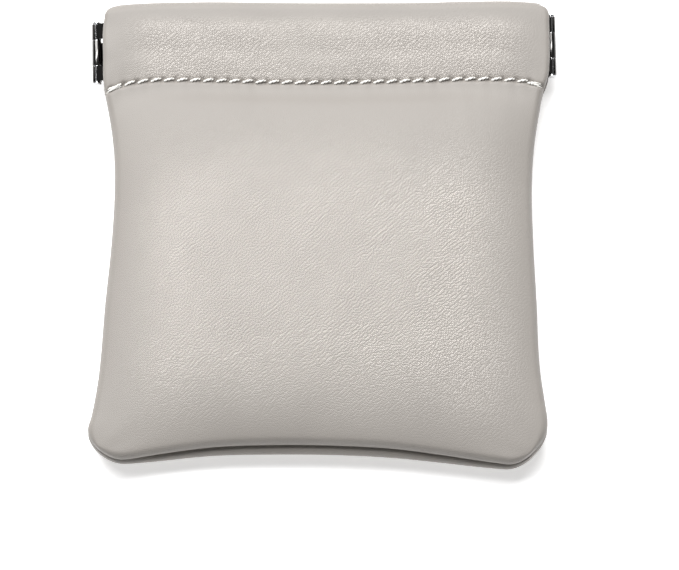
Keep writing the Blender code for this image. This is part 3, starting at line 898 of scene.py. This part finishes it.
class POUCH_OT_seam_threads(Operator):
    """Run the seam threads inside the sides and the bottom."""

    bl_idname = "pouch.seam_threads"
    bl_label = "Seam Threads"

    def execute(self, context):
        thread = context.scene.pouch_thread
        look = thread_material("seam_thread", thread.colour)
        from_edge = SEAM_ALLOWANCE + 0.0008
        sway, radius, turns = 0.00016, 0.00024, 500.0
        for side, hand in ((-1, "left"), (1, "right")):
            y = np.linspace(-0.0425, 0.0290, 180)
            zigzag = sway * np.sin(np.arange(len(y)) * 1.3)
            x = side * (side_reach(side, y) - from_edge + zigzag)
            path = np.stack([x, y, SEAM_Z + 0.6 * zigzag[::-1]], axis=1)
            piece = gathered(f"{hand}_seam_stitches", [twisted_strand(path, radius, turns)])
            piece.data.materials.append(look)
            settle(piece, 60.0)
            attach(piece, f"{hand}_end")
            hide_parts(f"{hand}_seam_thread")
        x = np.linspace(-0.0400, 0.0400, 200)
        zigzag = sway * np.sin(np.arange(len(x)) * 1.3)
        y = through(FRONT_BOTTOM, x) + from_edge + zigzag
        z = SEAM_Z + 0.0016 * pushed_over(x) + 0.6 * zigzag[::-1]
        path = np.stack([x, y, z], axis=1)
        piece = gathered("bottom_seam_stitches", [twisted_strand(path, radius, turns)])
        piece.data.materials.append(look)
        settle(piece, 60.0)
        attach(piece, "pouch")
        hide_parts("bottom_seam_thread")
        return {"FINISHED"}


# Spring frame


def slid_frame():
    """The turn that the spring frame has made in its casings."""
    middle = Matrix.Translation((0.0, FRAME_Y, 0.0))
    return middle @ Matrix.Rotation(FRAME_SLANT, 4, "Z") @ middle.inverted()


class POUCH_OT_spring_strips(Operator):
    """Slide the two blued spring-steel strips into the casings."""

    bl_idname = "pouch.spring_strips"
    bl_label = "Spring Strips"

    def execute(self, context):
        hinges = context.scene.pouch_hinges
        look = metal_material("blued_spring_steel", hinges.steel, 0.28, 0.5)
        for facing, word in ((1, "front"), (-1, "back")):
            for side, hand in ((-1, "left"), (1, "right")):
                bpy.ops.object.select_all(action="DESELECT")
                bpy.ops.mesh.primitive_grid_add(
                    x_subdivisions=56, y_subdivisions=6, size=1.0, location=(0.0, 0.0, 0.0)
                )
                piece = context.active_object
                piece.name = piece.data.name = f"{word}_spring_{hand}"
                # The end's corners are rounded by drawing its last columns in.
                for vert in piece.data.vertices:
                    along = STRIP_HALF * (vert.co.x + 0.5) ** 0.9
                    edge = max(0.0, 1 - (STRIP_HALF - along) / 0.0016)
                    narrow = 1 - 0.26 * (1 - math.sqrt(max(0.0, 1 - edge**2)))
                    y = FRAME_Y + vert.co.y * STRIP_WIDTH * narrow
                    vert.co = (side * along, y, SEAM_Z + facing * STRIP_Z)
                if side * facing < 0:
                    piece.data.flip_normals()
                give_wall(piece, 0.0004, 0.00008, 50)
                outwards(piece)
                piece.data.transform(slid_frame())
                piece.data.materials.append(look)
                settle(piece, 40.0)
                bend_with_mouth(piece)
                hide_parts(f"{word}_spring_strip")
        return {"FINISHED"}


def give_wall(piece, thickness, rounding, angle):
    """Makes a sheet as thick as its metal, and rounds the edges that are sharper than an angle."""
    wall = piece.modifiers.new("sheet metal", "SOLIDIFY")
    wall.thickness = thickness
    wall.offset = 0.0
    edges = piece.modifiers.new("rounded edges", "BEVEL")
    edges.width = rounding
    edges.segments = 2
    edges.limit_method = "ANGLE"
    edges.angle_limit = math.radians(angle)
    apply_modifiers(piece)


def pick_edges(piece, wanted):
    """In edit mode, selects just the edges whose two ends both pass the test."""
    bm = bmesh.from_edit_mesh(piece.data)
    for face in bm.faces:
        face.select = False
    for vert in bm.verts:
        vert.select = False
    for edge in bm.edges:
        edge.select = all(wanted(vert.co) for vert in edge.verts)
    bm.select_flush_mode()
    bmesh.update_edit_mesh(piece.data)


def leaf_sheet(name, side, facing, hinges):
    """One leaf from a single sheet: a plate along the strip, tabs rolled round the pin, and tabs
    folded over the strip's end.
    """
    middle_radius = hinges.barrel - hinges.sheet / 2
    high, low = 0.00245, 0.00165  # middles of the plate on the strip and of the plate under it
    inner_x, outer_x = 0.0435, 0.0481
    stops = (-LEAF_HALF, -0.00315, -0.00285, 0.00285, 0.00315, LEAF_HALF)
    spans = list(zip(stops[::2], stops[1::2]))
    rolled, folded = ((0, 2), (1,)) if facing > 0 else ((1,), (0, 2))

    bpy.ops.object.select_all(action="DESELECT")
    bpy.ops.mesh.primitive_grid_add(
        x_subdivisions=4, y_subdivisions=5, size=1.0, location=(0.0, 0.0, 0.0)
    )
    piece = bpy.context.active_object
    piece.name = piece.data.name = name
    for vert in piece.data.vertices:
        row = round((vert.co.y + 0.5) * 5)
        vert.co = (inner_x + (outer_x - inner_x) * (vert.co.x + 0.5), stops[row], high)

    def on_outer_edge(co, chosen):
        on_span = any(spans[k][0] - 1e-7 <= co.y <= spans[k][1] + 1e-7 for k in chosen)
        return on_span and abs(co.x - outer_x) < 1e-7 and abs(co.z - high) < 1e-7

    bpy.ops.object.mode_set(mode="EDIT")
    bpy.ops.mesh.select_mode(type="EDGE")
    # Necks slope down to meet the barrels at their tops, then roll round the pin.
    pick_edges(piece, lambda co: on_outer_edge(co, rolled))
    run, drop = MOUTH_HALF - outer_x, high - middle_radius
    for share_x, share_z in ((0.22, 0.12), (0.28, 0.42), (0.25, 0.34), (0.25, 0.12)):
        bpy.ops.mesh.extrude_region_move(
            TRANSFORM_OT_translate={"value": (run * share_x, 0.0, -drop * share_z)}
        )
    bpy.ops.mesh.spin(
        steps=22, angle=math.radians(318), center=(MOUTH_HALF, 0.0, 0.0), axis=(0.0, 1.0, 0.0)
    )
    # The other tabs fold over the strip's end and back under it.
    pick_edges(piece, lambda co: on_outer_edge(co, folded))
    turn, steps = (high - low) / 2, 6
    for step in range(steps):
        before, after = math.pi * step / steps, math.pi * (step + 1) / steps
        move = (
            turn * 0.8 * (math.sin(after) - math.sin(before)),
            0.0,
            turn * (math.cos(after) - math.cos(before)),
        )
        bpy.ops.mesh.extrude_region_move(TRANSFORM_OT_translate={"value": move})
    bpy.ops.mesh.extrude_region_move(TRANSFORM_OT_translate={"value": (-0.0044, 0.0, 0.0)})
    bpy.ops.object.mode_set(mode="OBJECT")

    outwards(piece, merged=1e-7)
    give_wall(piece, hinges.sheet, 0.00006, 60)
    place = Matrix.Translation((0.0, FRAME_Y, SEAM_Z)) @ Matrix.Diagonal((side, 1.0, facing, 1.0))
    piece.data.transform(slid_frame() @ place)
    outwards(piece)
    return piece


def pin_piece(name, side, hinges):
    """A turned pin whose ends are peened over into low domes."""
    bpy.ops.object.select_all(action="DESELECT")
    bpy.ops.mesh.primitive_cylinder_add(
        vertices=32,
        radius=hinges.pin,
        depth=2 * (LEAF_HALF + 0.0003),
        end_fill_type="NGON",
        location=(0.0, 0.0, 0.0),
    )
    piece = bpy.context.active_object
    piece.name = piece.data.name = name
    bpy.ops.object.mode_set(mode="EDIT")
    bpy.ops.mesh.select_mode(type="FACE")
    for end in (1, -1):
        for rise, wide in ((0.0, 1.55), (0.00012, 1.0), (0.00012, 0.86), (0.00007, 0.62)):
            bpy.ops.mesh.select_all(action="DESELECT")
            bm = bmesh.from_edit_mesh(piece.data)
            cap = max(bm.faces, key=lambda face: face.calc_center_median().z * end)
            cap.select = True
            bmesh.update_edit_mesh(piece.data)
            bpy.ops.mesh.extrude_region_move(
                TRANSFORM_OT_translate={"value": (0.0, 0.0, rise * end)}
            )
            bpy.ops.transform.resize(value=(wide, wide, 1.0), center_override=(0.0, 0.0, 0.0))
    bpy.ops.object.mode_set(mode="OBJECT")
    outwards(piece)
    place = Matrix.Translation((side * MOUTH_HALF, FRAME_Y, SEAM_Z))
    piece.data.transform(slid_frame() @ place @ Matrix.Rotation(-QUARTER, 4, "X"))
    return piece


class POUCH_OT_hinges(Operator):
    """Roll the leaves of both hinges and put their pins through."""

    bl_idname = "pouch.hinges"
    bl_label = "Hinges"

    def execute(self, context):
        hinges = context.scene.pouch_hinges
        plated = metal_material("polished_gunmetal", hinges.metal, 0.13, 0.25)
        bare = metal_material("bright_pin_steel", (0.52, 0.52, 0.53), 0.2, 0.4)
        for side, hand in ((-1, "left"), (1, "right")):
            for facing, word in ((1, "front"), (-1, "back")):
                body = f"{hand}_{word}_leaf"
                piece = leaf_sheet(f"{body}_metal", side, facing, hinges)
                piece.data.materials.append(plated)
                settle(piece, 35.0)
                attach(piece, body)
                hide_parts(body)
            piece = pin_piece(f"{hand}_pin", side, hinges)
            piece.data.materials.append(bare)
            settle(piece, 35.0)
            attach(piece, f"{hand}_end")
            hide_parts(f"{hand}_hinge_pin")
        return {"FINISHED"}


# Stage


class POUCH_OT_stage(Operator):
    """Lay the floor, hang the softbox and set up the camera."""

    bl_idname = "pouch.stage"
    bl_label = "Stage"

    def execute(self, context):
        stage = context.scene.pouch_stage
        bpy.ops.object.select_all(action="DESELECT")
        bpy.ops.mesh.primitive_plane_add(size=6.0, location=(0.0, 0.0, -0.00005))
        floor = context.active_object
        floor.name = "floor"
        shader = Shader("pale_floor")
        shade = shader.noise(shader.place, 3.0, 2.0)["Fac"]
        pale = shader.mixed(shade, tint(stage.floor, 0.995), tint(stage.floor, 1.005))
        shader.look(Base_Color=pale, Roughness=0.7)
        shader.look(Emission_Color=(1.0, 1.0, 1.0, 1.0), Emission_Strength=stage.glow)
        floor.data.materials.append(shader.material)

        elevation = math.radians(75)
        target = Vector((0.0035, -0.0117, 0.009))
        camera = bpy.data.objects.new("camera", bpy.data.cameras.new("camera"))
        camera.data.lens = stage.lens
        camera.data.sensor_width = 36.0
        # A longer lens stands further off, so that the pouch fills the same part of the picture.
        distance = 0.00424 * stage.lens
        towards = Vector((0.0, -math.cos(elevation), math.sin(elevation)))
        camera.location = target + distance * towards
        camera.rotation_euler = (math.pi / 2 - elevation, 0.0, 0.0)
        context.scene.collection.objects.link(camera)
        context.scene.camera = camera

        for name, size, power, height, away in (
            ("softbox", (1.0, 0.26), stage.power, math.radians(74), 1.2),
            ("window", (1.1, 0.9), stage.window, math.radians(48), 1.4),
        ):
            light = bpy.data.objects.new(name, bpy.data.lights.new(name, "AREA"))
            light.data.shape = "RECTANGLE"
            light.data.size, light.data.size_y = size
            light.data.energy = power
            level = math.cos(height)
            towards = Vector((-0.30 * level, 0.95 * level, math.sin(height)))
            light.location = target + away * towards
            light.rotation_euler = towards.to_track_quat("Z", "Y").to_euler()
            context.scene.collection.objects.link(light)

        world = bpy.data.worlds.new("white room")
        world.use_nodes = True
        background = world.node_tree.nodes["Background"]
        background.inputs["Color"].default_value = (1.0, 1.0, 1.0, 1.0)
        background.inputs["Strength"].default_value = stage.fill
        context.scene.world = world
        context.scene.view_settings.view_transform = "Standard"
        return {"FINISHED"}


class POUCH_PT_panel(Panel):
    """Buttons that make the pouch's pieces and its stage."""

    bl_label = "Squeeze-top Pouch"
    bl_idname = "POUCH_PT_panel"
    bl_space_type = "VIEW_3D"
    bl_region_type = "UI"
    bl_category = "Pouch"

    def draw(self, context):
        for kind in PIECES:
            self.layout.operator(kind.bl_idname)


PIECES = (
    POUCH_OT_front_leather,
    POUCH_OT_back_leather,
    POUCH_OT_hem_stitches,
    POUCH_OT_seam_threads,
    POUCH_OT_spring_strips,
    POUCH_OT_hinges,
    POUCH_OT_stage,
)
SETTINGS = (
    ("pouch_leather", LeatherSettings),
    ("pouch_thread", ThreadSettings),
    ("pouch_hinges", HingeSettings),
    ("pouch_stage", StageSettings),
)


def register():
    for name, group in SETTINGS:
        bpy.utils.register_class(group)
        setattr(bpy.types.Scene, name, PointerProperty(type=group))
    for kind in PIECES:
        bpy.utils.register_class(kind)
    bpy.utils.register_class(POUCH_PT_panel)


def unregister():
    bpy.utils.unregister_class(POUCH_PT_panel)
    for kind in reversed(PIECES):
        bpy.utils.unregister_class(kind)
    for name, group in reversed(SETTINGS):
        delattr(bpy.types.Scene, name)
        bpy.utils.unregister_class(group)


def main():
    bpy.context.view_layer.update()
    register()
    bpy.ops.pouch.front_leather()
    bpy.ops.pouch.back_leather()
    bpy.ops.pouch.hem_stitches()
    bpy.ops.pouch.seam_threads()
    bpy.ops.pouch.spring_strips()
    bpy.ops.pouch.hinges()
    bpy.ops.pouch.stage()


if __name__ == "__main__":
    main()
